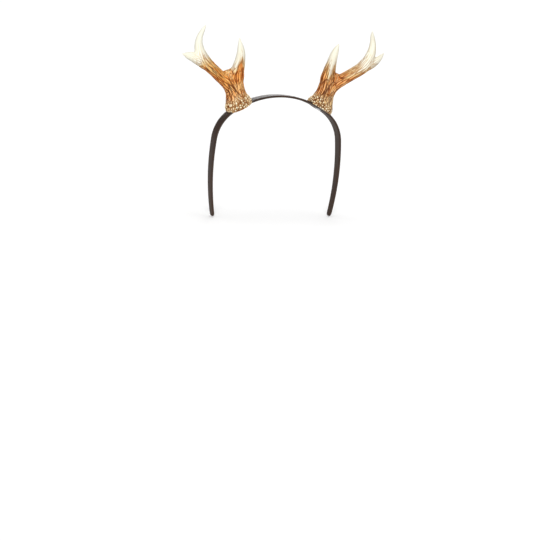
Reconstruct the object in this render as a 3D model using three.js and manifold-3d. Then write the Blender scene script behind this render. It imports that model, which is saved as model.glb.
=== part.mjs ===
// A costume headband that carries a pair of moulded deer antlers, with its band spread as in use.
// Millimetres, +Z up. The front faces -Y, so left (-X) and right (+X) are as seen from the front.
// The origin is the middle of the band's inner face at the crown.
import * as THREE from "three";
import { mergeVertices } from "three/addons/utils/BufferGeometryUtils.js";
import Module from "manifold-3d";

const wasm = await Module();
wasm.setup();

// Driving dimensions
const GAP = 0.3; // clearance between pieces that seat on each other
const BAND_THICKNESS = 2.4;
const SEAT_OUT = 47; // from the middle of the band to the middle of an antler's foot
const FOOT_DEPTH = 1.8; // how far the foot reaches down past the band's outer face
const PIN_RADIUS = 1.8;
const PIN_DEPTH_IN_ANTLER = 10;
const PIN_HEAD_RADIUS = 3.6;
const PIN_HEAD_HEIGHT = 0.8;

// The band's inner face, from the crown down one side: arcs that meet smoothly, with turns in degrees.
const BAND_ARCS = [
  { part: "crown", radius: 95, turn: 36 },
  { part: "shoulder", radius: 38, turn: 48 },
  { part: "arm", radius: 260, turn: 18 },
];

// The band's width front to back, by the distance along it from the end of an arm.
const BAND_WIDTHS = [
  { fromEnd: 0, width: 3.2 },
  { fromEnd: 0.8, width: 5.6 },
  { fromEnd: 2.2, width: 7.4 },
  { fromEnd: 4.5, width: 8.4 },
  { fromEnd: 12, width: 8.8 },
  { fromEnd: 120, width: 14 },
  { fromEnd: 180, width: 14 },
];

// The branches of an antler, each from root to tip. Places are from the middle of the antler's foot: out to
// the side, forward, and up. Width is in the plane of the fork, and depth is across it.
const BEAM = [
  { out: 2.4, forward: -0.4, up: 0.0, width: 18.0, depth: 19.0 },
  { out: 5.7, forward: -0.4, up: 9.5, width: 15.3, depth: 17.0 },
  { out: 10.5, forward: -0.6, up: 17.9, width: 13.6, depth: 15.6 },
  { out: 16.6, forward: -0.3, up: 24.4, width: 13.1, depth: 14.4 },
  { out: 24.4, forward: 1.6, up: 30.0, width: 12.6, depth: 13.4 },
  { out: 32.7, forward: 4.8, up: 35.9, width: 12.2, depth: 12.6 },
  { out: 41.6, forward: 7.3, up: 42.4, width: 12.8, depth: 12.0 },
  { out: 48.5, forward: 8.0, up: 50.2, width: 12.0, depth: 11.0 },
  { out: 52.2, forward: 7.6, up: 57.4, width: 10.4, depth: 9.6 },
  { out: 53.7, forward: 7.8, up: 64.6, width: 8.1, depth: 7.8 },
  { out: 53.0, forward: 8.8, up: 71.9, width: 6.0, depth: 5.8 },
  { out: 50.9, forward: 10.7, up: 78.4, width: 3.8, depth: 3.8 },
  { out: 49.4, forward: 12.8, up: 83.0, width: 0.9, depth: 0.9 },
];
const BROW_TINE = [
  { out: -3.4, forward: 0.6, up: 0.0, width: 17.0, depth: 18.0 },
  { out: 0.0, forward: 0.9, up: 9.3, width: 15.6, depth: 16.6 },
  { out: 3.0, forward: 1.3, up: 17.3, width: 14.2, depth: 15.4 },
  { out: 5.0, forward: 1.8, up: 25.3, width: 14.0, depth: 14.4 },
  { out: 5.9, forward: 3.4, up: 33.3, width: 14.0, depth: 13.2 },
  { out: 6.0, forward: 6.0, up: 40.8, width: 13.0, depth: 11.8 },
  { out: 6.1, forward: 8.8, up: 48.2, width: 10.8, depth: 10.0 },
  { out: 6.8, forward: 11.1, up: 55.7, width: 8.8, depth: 8.2 },
  { out: 8.5, forward: 12.5, up: 62.8, width: 6.0, depth: 5.6 },
];
// The web that rounds out the fork between the brow tine and the beam.
const FORK_WEB = [
  { out: 5.0, forward: 2.6, up: 32.0, width: 12.0, depth: 9.0 },
  { out: 11.0, forward: 2.4, up: 32.2, width: 14.2, depth: 10.5 },
  { out: 15.4, forward: 1.8, up: 31.0, width: 13.8, depth: 11.0 },
  { out: 19.0, forward: 1.2, up: 29.6, width: 13.0, depth: 11.0 },
  { out: 25.0, forward: 1.6, up: 29.4, width: 11.0, depth: 10.0 },
];
// What differs from side to side: the back tine, and where the brow tine ends.
const SIDES = {
  left: {
    mirror: -1,
    browTip: { out: 10.7, forward: 13.5, up: 71.2, width: 0.9, depth: 0.9 },
    backTine: [
      { out: 46.0, forward: 7.2, up: 43.6, width: 11.6, depth: 10.6 },
      { out: 52.5, forward: 7.8, up: 47.0, width: 11.5, depth: 10.0 },
      { out: 58.7, forward: 7.5, up: 49.7, width: 10.2, depth: 8.8 },
      { out: 64.7, forward: 6.6, up: 51.1, width: 6.9, depth: 6.2 },
      { out: 69.7, forward: 5.2, up: 52.3, width: 0.9, depth: 0.9 },
    ],
  },
  right: {
    mirror: 1,
    browTip: { out: 10.4, forward: 13.5, up: 68.6, width: 0.9, depth: 0.9 },
    backTine: [
      { out: 44.1, forward: 7.4, up: 43.7, width: 11.2, depth: 10.6 },
      { out: 51.3, forward: 8.0, up: 47.1, width: 10.4, depth: 9.6 },
      { out: 58.1, forward: 7.8, up: 50.7, width: 8.7, depth: 8.0 },
      { out: 63.9, forward: 7.0, up: 54.9, width: 5.7, depth: 5.4 },
      { out: 68.8, forward: 6.1, up: 59.6, width: 0.9, depth: 0.9 },
    ],
  },
};

// The burr flares out to the antler's foot: its radius by height along the axis of the foot.
const BURR = [
  { height: -FOOT_DEPTH, radius: 14.4 },
  { height: 1.0, radius: 14.9 },
  { height: 4.0, radius: 13.8 },
  { height: 7.5, radius: 11.4 },
  { height: 12.0, radius: 9.2 },
];
// Rings of pearls, the knobbly grains that stand up from the burr.
const PEARLS = [
  { height: 0.2, count: 19, radius: 1.9 },
  { height: 3.8, count: 17, radius: 1.8 },
  { height: 7.2, count: 14, radius: 1.6 },
];
const PEARL_SUNK = 0.5; // share of a pearl's radius that lies under the burr's skin
const PEARL_VARIES = 0.22; // share by which pearls differ in size

// Long flutes in the horn, which fade towards the tips.
const FLUTE_COUNT = 6;
const FLUTE_DEPTH = 0.045; // as a share of the section's size

// Facets
const BAND_SIDES = 12;
const BAND_STEP = 9; // length of a step along the band
const BRANCH_SIDES = 18;
const STEPS_PER_ROW = 1.6; // along a branch
const BURR_SIDES = 24;
const PIN_SIDES = 16;

const FORWARD = new THREE.Vector3(0, -1, 0);

// Looks a value up in a table of rows, between the two rows on either side of it.
function lookUp(rows, key, column, value) {
  const next = rows.findIndex((row) => row[key] >= value);
  if (next <= 0) return rows.at(next)[column];
  const [a, b] = [rows[next - 1], rows[next]];
  return THREE.MathUtils.mapLinear(value, a[key], b[key], a[column], b[column]);
}

// A closed three.js geometry as a solid that can be joined and cut.
function solidOf(geometry) {
  const bare = new THREE.BufferGeometry().setIndex(geometry.getIndex());
  bare.setAttribute("position", geometry.getAttribute("position"));
  const merged = mergeVertices(bare, 1e-4);
  const vertProperties = merged.getAttribute("position").array;
  const triVerts = new Uint32Array(merged.getIndex().array);
  return new wasm.Manifold(new wasm.Mesh({ numProp: 3, vertProperties, triVerts }));
}

// A solid back as a three.js geometry.
function geometryOf(solid) {
  const mesh = solid.getMesh();
  const geometry = new THREE.BufferGeometry();
  geometry.setAttribute("position", new THREE.BufferAttribute(mesh.vertProperties, 3));
  geometry.setIndex(new THREE.BufferAttribute(mesh.triVerts, 1));
  geometry.computeVertexNormals();
  return geometry;
}

// A closed bar: a cylinder whose rings are moved to their places, one for each section. A section has its
// centre, the direction that the bar runs in, and outline(angle), its half width and half depth there.
function bar(sections, sides) {
  const steps = sections.length - 1;
  const geometry = new THREE.CylinderGeometry(1, 1, 1, sides, steps);
  const position = geometry.getAttribute("position");
  const corner = new THREE.Vector3();
  for (let i = 0; i < position.count; i++) {
    corner.fromBufferAttribute(position, i);
    const { centre, along, outline } = sections[Math.round((corner.y + 0.5) * steps)];
    const front = FORWARD.clone().addScaledVector(along, -FORWARD.dot(along)).normalize();
    const side = along.clone().cross(front);
    const onSkin = Math.hypot(corner.x, corner.z) > 0.5;
    const [halfWidth, halfDepth] = onSkin ? outline(Math.atan2(corner.z, corner.x)) : [0, 0];
    const place = centre.clone().addScaledVector(side, halfWidth).addScaledVector(front, halfDepth);
    position.setXYZ(i, place.x, place.y, place.z);
  }
  return solidOf(geometry);
}

// The band's inner face as a flat path, from the left end over the crown to the right end.
function bandPath() {
  const path = new THREE.Path();
  const arcs = [];
  const centre = new THREE.Vector2(0, -BAND_ARCS[0].radius);
  let turned = 0;
  for (const { radius, turn } of BAND_ARCS) {
    const from = Math.PI / 2 - turned;
    const to = from - THREE.MathUtils.degToRad(turn);
    arcs.push({ x: centre.x, z: centre.y, radius, from, to });
    turned += THREE.MathUtils.degToRad(turn);
    const next = BAND_ARCS[arcs.length];
    if (next) {
      centre.x += (radius - next.radius) * Math.cos(to);
      centre.y += (radius - next.radius) * Math.sin(to);
    }
  }
  for (const { x, z, radius, from, to } of [...arcs].reverse()) {
    path.absarc(-x, z, radius, Math.PI - to, Math.PI - from, true);
  }
  for (const { x, z, radius, from, to } of arcs) path.absarc(x, z, radius, from, to, true);
  return path;
}

// The band, or with a margin the room that it takes up. Its section is a flat bar with rounded edges.
function bandSolid(margin) {
  const path = bandPath();
  const length = path.getLength();
  const steps = Math.round(length / BAND_STEP);
  const ends = BAND_WIDTHS.map((row) => row.fromEnd).filter((fromEnd) => fromEnd < BAND_STEP);
  const even = Array.from({ length: steps - 1 }, (_, i) => ((i + 1) * length) / steps);
  const stations = [...ends, ...even, ...ends.map((fromEnd) => length - fromEnd)].sort((a, b) => a - b);
  const sections = stations.map((station) => {
    const point = path.getPointAt(station / length);
    const tangent = path.getTangentAt(station / length);
    const along = new THREE.Vector3(tangent.x, 0, tangent.y);
    const outward = new THREE.Vector3(-tangent.y, 0, tangent.x);
    const centre = new THREE.Vector3(point.x, 0, point.y).addScaledVector(outward, BAND_THICKNESS / 2);
    const width = lookUp(BAND_WIDTHS, "fromEnd", "width", Math.min(station, length - station));
    const outline = (angle) => [
      (BAND_THICKNESS / 2 + margin) * squared(Math.cos(angle)),
      (width / 2 + margin) * squared(Math.sin(angle)),
    ];
    return { centre, along, outline };
  });
  return bar(sections, BAND_SIDES);
}

// Turns a circle's coordinate into that of a rounded square.
function squared(value) {
  return Math.sign(value) * Math.sqrt(Math.abs(value));
}

// Where an antler's foot sits on the band's outer face, and how far the face leans outwards there.
const CROWN_RADIUS = BAND_ARCS[0].radius + BAND_THICKNESS;
const SEAT_LEAN = Math.asin(SEAT_OUT / CROWN_RADIUS);
const SEAT_UP = CROWN_RADIUS * Math.cos(SEAT_LEAN) - BAND_ARCS[0].radius;

// Moves a geometry that stands on the origin along +Y, as lathes and cylinders do, onto the leaning seat.
function standOnSeat(geometry) {
  return geometry.rotateX(Math.PI / 2).rotateY(SEAT_LEAN);
}

// One branch of an antler, with flutes that twist a little and die out towards its tip.
function branchSolid(rows) {
  const places = rows.map((row) => new THREE.Vector3(row.out, -row.forward, row.up));
  const halves = rows.map((row) => new THREE.Vector3(row.width / 2, row.depth / 2, 0));
  const curve = new THREE.CatmullRomCurve3(places);
  const sizes = new THREE.CatmullRomCurve3(halves);
  const steps = Math.round(STEPS_PER_ROW * (rows.length - 1));
  const sections = Array.from({ length: steps + 1 }, (_, i) => {
    const t = i / steps;
    const size = sizes.getPoint(t);
    const outline = (angle) => {
      const flute = FLUTE_DEPTH * (1 - t) * Math.cos(FLUTE_COUNT * angle + 2 * t);
      return [size.x * (1 + flute) * Math.cos(angle), size.y * (1 + flute) * Math.sin(angle)];
    };
    return { centre: curve.getPoint(t), along: curve.getTangent(t), outline };
  });
  return bar(sections, BRANCH_SIDES);
}

// The flared burr at the foot, with its pearls.
function burrSolid() {
  const top = BURR.at(-1).height;
  const skin = BURR.map((row) => new THREE.Vector2(row.radius, row.height));
  const profile = [new THREE.Vector2(0, -FOOT_DEPTH), ...skin, new THREE.Vector2(0, top)];
  const pieces = [solidOf(standOnSeat(new THREE.LatheGeometry(profile, BURR_SIDES)))];
  for (const { height, count, radius } of PEARLS) {
    const ring = lookUp(BURR, "height", "radius", height);
    for (let i = 0; i < count; i++) {
      const angle = ((i + height) * 2 * Math.PI) / count;
      const size = radius * (1 + PEARL_VARIES * Math.sin(height + i * i));
      const out = ring - PEARL_SUNK * size + radius * PEARL_VARIES;
      const pearl = new THREE.OctahedronGeometry(size, 1);
      pearl.translate(out * Math.cos(angle), height, out * Math.sin(angle));
      pieces.push(solidOf(standOnSeat(pearl)));
    }
  }
  return wasm.Manifold.union(pieces);
}

// A round bar on the seat's axis, between two heights above the band's outer face.
function seatBar(radius, low, high) {
  const geometry = new THREE.CylinderGeometry(radius, radius, high - low, PIN_SIDES);
  return solidOf(standOnSeat(geometry.translate(0, (low + high) / 2, 0)));
}

// The antler on one side, from its foot: branches and burr in one piece, trimmed flat below, with a channel
// that fits over the band and a blind hole for the pin.
function antlerSolid({ browTip, backTine }) {
  const branches = [BEAM, [...BROW_TINE, browTip], backTine, FORK_WEB].map(branchSolid);
  const whole = wasm.Manifold.union([...branches, burrSolid()]);
  const below = standOnSeat(new THREE.BoxGeometry(80, 80, 80).translate(0, -40 - FOOT_DEPTH, 0));
  const channel = bandSolid(GAP).translate([-SEAT_OUT, 0, -SEAT_UP]);
  const hole = seatBar(PIN_RADIUS + GAP, -FOOT_DEPTH, PIN_DEPTH_IN_ANTLER + GAP);
  return whole.subtract(solidOf(below)).subtract(channel).subtract(hole);
}

// The plain pin that holds an antler: a shank through the band, with a flat head inside it.
function pinSolid() {
  const inside = -BAND_THICKNESS - GAP;
  const shank = seatBar(PIN_RADIUS, inside - PIN_HEAD_HEIGHT / 2, PIN_DEPTH_IN_ANTLER);
  return shank.add(seatBar(PIN_HEAD_RADIUS, inside - PIN_HEAD_HEIGHT, inside));
}

const hornMaterial = new THREE.MeshStandardMaterial({ color: 0xc68a4c, roughness: 0.5, metalness: 0 });
const bandMaterial = new THREE.MeshStandardMaterial({ color: 0x2a1c14, roughness: 0.45, metalness: 0 });
const pinMaterial = new THREE.MeshStandardMaterial({ color: 0x8a8a8c, roughness: 0.35, metalness: 1 });

function namedMesh(name, solid, material) {
  const mesh = new THREE.Mesh(geometryOf(solid), material);
  mesh.name = name;
  return mesh;
}

const headpiece = new THREE.Group();
let band = bandSolid(0);
for (const [name, side] of Object.entries(SIDES)) {
  const seat = new THREE.Group();
  seat.position.set(side.mirror * SEAT_OUT, 0, SEAT_UP);
  seat.scale.x = side.mirror;
  seat.add(namedMesh(`antler_${name}`, antlerSolid(side), hornMaterial));
  seat.add(namedMesh(`pin_${name}`, pinSolid(), pinMaterial));
  headpiece.add(seat);
  const hole = seatBar(PIN_RADIUS + GAP, -2 * BAND_THICKNESS, BAND_THICKNESS);
  band = band.subtract(hole.translate([SEAT_OUT, 0, SEAT_UP]).scale([side.mirror, 1, 1]));
}
headpiece.add(namedMesh("headband", band, bandMaterial));

export default headpiece;
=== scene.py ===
# The looks of the antler headband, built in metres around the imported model.
import math

import bpy
import numpy as np
from mathutils import Matrix, Vector


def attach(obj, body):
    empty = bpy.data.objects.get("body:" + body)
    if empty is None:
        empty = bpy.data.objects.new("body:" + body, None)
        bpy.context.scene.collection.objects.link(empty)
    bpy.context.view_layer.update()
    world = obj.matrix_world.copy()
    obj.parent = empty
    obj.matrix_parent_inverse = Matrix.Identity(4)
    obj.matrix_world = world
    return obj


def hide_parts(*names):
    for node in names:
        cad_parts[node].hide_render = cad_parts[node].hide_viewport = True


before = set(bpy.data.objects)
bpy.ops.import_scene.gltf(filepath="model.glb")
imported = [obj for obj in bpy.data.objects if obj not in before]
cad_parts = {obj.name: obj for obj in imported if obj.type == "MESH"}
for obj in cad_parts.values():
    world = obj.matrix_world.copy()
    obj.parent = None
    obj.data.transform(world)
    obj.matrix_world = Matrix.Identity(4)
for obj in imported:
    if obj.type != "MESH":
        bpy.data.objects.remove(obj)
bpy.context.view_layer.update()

MM = 0.001

# Camera: a long lens at the left of the band's front, rolled a little
CAMERA_DISTANCE = 2.5
CAMERA_YAW, CAMERA_ELEVATION, CAMERA_ROLL = 26.0, 6.0, 4.30
IMAGE_SIDE = 540
FOCAL_PIXELS = 2375.0
ORIGIN_PIXEL = (279.95, 96.96)
SENSOR = 36.0

# The part's own sizes, in millimetres, as its source has them
BAND_THICKNESS = 2.4
SEAT_OUT = 47.0
FOOT_DEPTH = 1.8
GAP = 0.3
PIN_RADIUS, PIN_DEPTH = 1.8, 10.0
PIN_HEAD_RADIUS, PIN_HEAD_HEIGHT = 3.6, 0.8
BAND_ARCS = [(95.0, 36.0), (38.0, 48.0), (260.0, 18.0)]  # radius, turn in degrees
# Distance from the band's end, width
BAND_WIDTHS = [(0, 3.2), (0.8, 5.6), (2.2, 7.4), (4.5, 8.4), (12, 8.8), (120, 14), (180, 14)]
CROWN = BAND_ARCS[0][0] + BAND_THICKNESS  # radius of the band's outer face
CROWN_WIDTH = BAND_WIDTHS[-1][1]
SEAT_LEAN = math.asin(SEAT_OUT / CROWN)
SEAT_UP = CROWN * math.cos(SEAT_LEAN) - BAND_ARCS[0][0]
SEAT_AXIS = np.array([math.sin(SEAT_LEAN), 0, math.cos(SEAT_LEAN)])
SEAT_SIDE = np.array([math.cos(SEAT_LEAN), 0, -math.sin(SEAT_LEAN)])

# Branches of an antler, root to tip, from the middle of its foot: out, forward, up, width, depth
BEAM = [
    (2.4, -0.4, 0.0, 18.0, 19.0),
    (5.7, -0.4, 9.5, 15.3, 17.0),
    (10.5, -0.6, 17.9, 13.6, 15.6),
    (16.6, -0.3, 24.4, 13.1, 14.4),
    (24.4, 1.6, 30.0, 12.6, 13.4),
    (32.7, 4.8, 35.9, 12.2, 12.6),
    (41.6, 7.3, 42.4, 12.8, 12.0),
    (48.5, 8.0, 50.2, 12.0, 11.0),
    (52.2, 7.6, 57.4, 10.4, 9.6),
    (53.7, 7.8, 64.6, 8.1, 7.8),
    (53.0, 8.8, 71.9, 6.0, 5.8),
    (50.9, 10.7, 78.4, 3.8, 3.8),
    (49.4, 12.8, 83.0, 0.9, 0.9),
]
BROW_TINE = [
    (-3.4, 0.6, 0.0, 17.0, 18.0),
    (0.0, 0.9, 9.3, 15.6, 16.6),
    (3.0, 1.3, 17.3, 14.2, 15.4),
    (5.0, 1.8, 25.3, 14.0, 14.4),
    (5.9, 3.4, 33.3, 14.0, 13.2),
    (6.0, 6.0, 40.8, 13.0, 11.8),
    (6.1, 8.8, 48.2, 10.8, 10.0),
    (6.8, 11.1, 55.7, 8.8, 8.2),
    (8.5, 12.5, 62.8, 6.0, 5.6),
]
FORK_WEB = [
    (5.0, 2.6, 31.0, 12.0, 9.0),
    (11.0, 2.4, 31.4, 13.4, 10.5),
    (15.4, 1.8, 30.4, 13.2, 11.0),
    (19.0, 1.2, 29.2, 12.6, 11.0),
    (25.0, 1.6, 30.6, 7.0, 7.0),
]
BROW_TIP = {"left": (10.7, 13.5, 71.2, 0.9, 0.9), "right": (10.4, 13.5, 68.6, 0.9, 0.9)}
BACK_TINE = {
    "left": [
        (46.0, 7.2, 43.6, 11.6, 10.6),
        (52.5, 7.8, 47.0, 11.5, 10.0),
        (58.7, 7.5, 49.7, 10.2, 8.8),
        (64.7, 6.6, 51.1, 6.9, 6.2),
        (69.7, 5.2, 52.3, 0.9, 0.9),
    ],
    "right": [
        (44.1, 7.4, 43.7, 11.2, 10.6),
        (51.3, 8.0, 47.1, 10.4, 9.6),
        (58.1, 7.8, 50.7, 8.7, 8.0),
        (63.9, 7.0, 54.9, 5.7, 5.4),
        (68.8, 6.1, 59.6, 0.9, 0.9),
    ],
}
# Which of an antler's branches is which
ON_BEAM, ON_BROW, ON_BACK, ON_WEB = range(4)
# How widely the places are rounded where the back tine, the web, the brow tine and the burr join in
BACK_FILLET, WEB_FILLET, FORK_FILLET, BURR_FILLET = 2.5, 4.0, 2.2, 4.0
# Height of the burr above the middle of the foot, radius
BURR = [(-FOOT_DEPTH, 14.4), (1.0, 14.9), (4.0, 13.8), (7.5, 11.4), (12.0, 9.2), (18.0, 5.0)]
BURR_SLOPE = 0.85  # distance to the flaring burr, for each millimetre outside its radius

# Making the skins
VOXEL = 0.335  # size of the cells that an antler's skin is made from
ANTLER_LOW, ANTLER_HIGH = np.array([-19.0, -19.4, -12.0]), np.array([74.0, 19.4, 86.0])  # a box around it
BRANCH_STEP = 1.3  # longest step between the samples of a branch
BRANCH_GROUP = 6  # samples that are searched together
THINNEST = 0.8  # width and depth of the thinnest section
REACH, FAR = 5.0, 1000.0  # distances are right within REACH of a skin, and FAR further off
NOMINAL_RADIUS = 7.0  # flow coordinates are those of a branch of this radius

# Ridges of each antler, and the pearls of the burr: ridges and ridge ends per mm, extra ends per mm at the
# root and how far they reach, how much the ridges sway, the shallowest groove, where a groove is darkest and
# no longer dark, and how much the corners of a pearl are worn away
RIDGES = {
    "left": dict(across=0.42, ends=0.046, extra=0.25, fade=14.0, sway=1.0, shallow=0.55, groove=(0.16, 0.64)),
    "right": dict(across=0.44, ends=0.060, extra=0.12, fade=8.0, sway=0.5, shallow=0.70, groove=(0.22, 0.66)),
}
PEARLS = dict(across=0.50, ends=0.16, extra=0.30, fade=8.0, sway=1.0, shallow=0.8, groove=(0.17, 0.56),
              rounding=0.9)
RIDGE_EDGE = 0.9  # how far from its groove a ridge reaches its full height
PEARL_WORN = (0.40, 0.75)  # how far from a pearl's middle the wear starts and is full
LOWEST = -3  # ends get no denser below this place along a branch
RIDGE_HEIGHT, RIDGE_SUNK = 0.75, 0.95  # height, and the share of it that lies below the plain skin
SWELL_HEIGHT = 0.30  # broad swells below the ridges
SLENDER = (0.3, 4.0)  # half widths of a branch between which its relief grows
IVORY_CALM = 0.72  # how much lower the relief is on ivory
WEB_RIDGES, WEB_GROOVES = 0.3, 0.4  # how high and how dark they are on the web
PEARL_HEIGHT, PEARL_SUNK = 1.2, 0.9
PEARL_VARIES = 0.45  # how much pearls differ in height
PEARL_RADIUS = 13  # the pearls are laid out around the burr as if it had this radius
BURR_FADES = {"left": (6.0, 14.0), "right": (3.0, 8.5)}  # heights where the pearls give way to ridges
BURR_LEAN = {"left": 0.0, "right": 4.0}  # how much lower that is on the outer side, and higher on the inner
BURR_RAGGED = 1.6  # how far those heights wander
FOOT_EDGE, CHANNEL_EDGE = 0.8, 1.0  # how far from the foot's edge and from the band's channel relief is full
# The furrow below the fork: off the seam between beam and brow tine, slant below a height, and half width
FURROW = {"left": (-4.4, 0.30, 0.9), "right": (3.4, 0.0, 0.9)}
FURROW_SLANTS_BELOW = 30
FURROW_DEPTH = 0.9
FURROW_FROM, FURROW_UNTIL = (9, 15), (27, 34)  # heights where it grows and where it fades
LIP_HEIGHT, LIP_OFF, LIP_WIDTH = 0.35, 2.2, 1.0  # the raised lip beside it
# Where branches meet, the nearest one's grain shows
MEETING = 0.35  # how soft the change is
WEB_YIELDS, BACK_YIELDS = 0.8, 2.5  # how far the web and the back tine's root give way to the others
BACK_ROOT = (2, 10)  # where along the back tine that ends
WEB_MIDDLE = np.array([14, 0, 0])
# How finely patterns vary, in changes per mm, twice across the grain and once along it
SWAY_BROAD, SWAY_FINE = np.array([0.22, 0.22, 0.09]), np.array([0.5, 0.5, 0.24])
SWAY_WEIGHTS = (0.9, 0.35)
DEPTH_PATCHES = np.array([0.3, 0.3, 0.09])
DEPTH_RANGE = (-0.35, 0.25)  # values of that pattern where grooves are shallowest and deepest
BURR_EDGE = np.array([0.4, 0.4, 0.1])
TURN_EDGE = np.array([0.3, 0.3, 0.03])
SWELLS = np.array([0.17, 0.17, 0.02])
# What is added to an antler's seed for each pattern
BURR_SEED, SWELL_SEED, TURN_SEED, SWAY_SEED, DEPTH_SEED, BRANCH_SEED, PEARL_SEED = 9, 11, 20, 50, 54, 100, 710

# Where amber turns to ivory on the beam, brow tine, back tine and web: the middle of the turn and its half
# length along the branch, how much further the amber reaches on the inner side, and a tongue of amber, or of
# ivory where its reach is negative: reach, direction in degrees from the front inward, and half width
IVORY_TURNS = {
    "left": [(65, 5, -1, 2, 0, 45), (43, 4.5, 5, 11, -7, 28), (-2, 6, -6, 0, 0, 30),
             (95, 5, 0, 0, 0, 30)],
    "right": [(61, 12, -8, -8, 12, 50), (45.5, 6, 1, -10, 13, 17), (4, 8, -5, 0, 0, 30),
              (95, 5, 0, 0, 0, 30)],
}
TURN_RAGGED = 1.5  # how far the turn wanders along a branch
TURN_RANGE = (-2, 4)  # 0 and 1 are the ends of the turn
# Painted shading: the beam's two sides turn to ivory later, so they stay darker amber towards its outline
SIDE_AMBER_SHADING = {"left": 0.0, "right": 0.25}  # how much later the beam's two sides turn to ivory
SIDE_GROWS, SIDE_FADES = (45, 75), (105, 135)  # degrees from the front
# How much darker each antler is stained at some heights (height, darkening), all over its web, and on its
# brow tine from some way along it, and how much painted shading darkens the two sides of its branches towards
# their outline
STAIN = {"left": [(14, 0.04), (32, -0.05)], "right": [(11, -0.14), (16, 0.15), (24, 0.16), (34, 0.11)]}
PAINTED_SIDE_SHADE = {"left": 0.13, "right": 0.06}
WEB_STAIN = 0.04
FLAME_STAIN = {"left": 0.15, "right": -0.05}
FLAME_FROM = (22, 34)
ORANGE = {"left": 1.0, "right": 0.2}  # how much deeper the amber is above the fork
ORANGE_FROM = (14, 34)  # where that grows along a branch
ORANGE_ENDS = (0.0, 0.3)  # where it ends in the turn to ivory
BURR_CREAM = {"left": 0.92, "right": 0.80}  # how pale the pearls are painted
# The paint's own flow is stretched where ridges are short, and branches lie far apart in it
FLOW_STRETCH, FLOW_APART = 20, 200
BRANCH_TRACE, BURR_TRACE = 0.02, 0.01  # where a branch or the burr has a smaller share, it is left out
GROOVE_WEIGHT = 0.3  # how much a groove's darkness counts where faces are cut along the grain


def camera():
    """A camera that puts the frame's origin on ORIGIN_PIXEL, seen from the chosen angle."""
    yaw, elevation, roll = np.radians([CAMERA_YAW, CAMERA_ELEVATION, CAMERA_ROLL])
    back = np.array([-np.sin(yaw) * np.cos(elevation), -np.cos(yaw) * np.cos(elevation), np.sin(elevation)])
    right = np.array([np.cos(yaw), -np.sin(yaw), 0.0])
    up = np.cross(back, right)
    rolled_right = np.cos(roll) * right + np.sin(roll) * up
    rolled_up = -np.sin(roll) * right + np.cos(roll) * up
    across = math.atan((ORIGIN_PIXEL[0] - IMAGE_SIDE / 2) / FOCAL_PIXELS)
    above = math.atan((IMAGE_SIDE / 2 - ORIGIN_PIXEL[1]) / FOCAL_PIXELS)
    axes = Matrix([rolled_right, rolled_up, back])
    turn = Matrix.Rotation(-across, 3, "Y") @ Matrix.Rotation(above, 3, "X")
    data = bpy.data.cameras.new("camera")
    data.sensor_width = SENSOR
    data.lens = FOCAL_PIXELS / IMAGE_SIDE * SENSOR
    data.clip_start, data.clip_end = 0.05, 60.0
    obj = bpy.data.objects.new("camera", data)
    stand = Matrix.Translation(Vector(back) * CAMERA_DISTANCE)
    obj.matrix_world = stand @ (turn @ axes).transposed().to_4x4()
    bpy.context.scene.collection.objects.link(obj)
    bpy.context.scene.camera = obj


def add_mesh(name, points_mm, faces, smooth=True):
    """A new object made of points in millimetres."""
    mesh = bpy.data.meshes.new(name)
    mesh.from_pydata((np.asarray(points_mm) * MM).tolist(), [], [list(map(int, face)) for face in faces])
    mesh.polygons.foreach_set("use_smooth", [smooth] * len(mesh.polygons))
    mesh.update()
    obj = bpy.data.objects.new(name, mesh)
    bpy.context.scene.collection.objects.link(obj)
    return obj


def smoothstep(low, high, value):
    """0 below low, 1 above high, and a smooth step between."""
    t = np.clip((value - low) / (high - low), 0.0, 1.0)
    return t * t * (3 - 2 * t)


def lattice(i, j, k, seed):
    """Repeatable random numbers from 0 to 1 on a whole-number lattice."""
    h = (i * 374761393 + j * 668265263 + k * 2147483647 + seed * 1274126177) & 0xFFFFFFFF
    h = ((h ^ (h >> 13)) * 1274126177) & 0xFFFFFFFF
    h = ((h ^ (h >> 16)) * 2246822519) & 0xFFFFFFFF
    return ((h ^ (h >> 15)) & 0xFFFF) / 65535.0


def noise(points, seed):
    """Smooth noise from about -1 to 1."""
    cell = np.floor(points).astype(np.int64)
    t = points - cell
    t = t * t * t * (t * (t * 6 - 15) + 10)
    total = 0.0
    for a, b, c in np.ndindex(2, 2, 2):
        weight = (t[:, 0] if a else 1 - t[:, 0]) * (t[:, 1] if b else 1 - t[:, 1])
        weight = weight * (t[:, 2] if c else 1 - t[:, 2])
        total = total + weight * lattice(cell[:, 0] + a, cell[:, 1] + b, cell[:, 2] + c, seed)
    return 2 * total - 1


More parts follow.
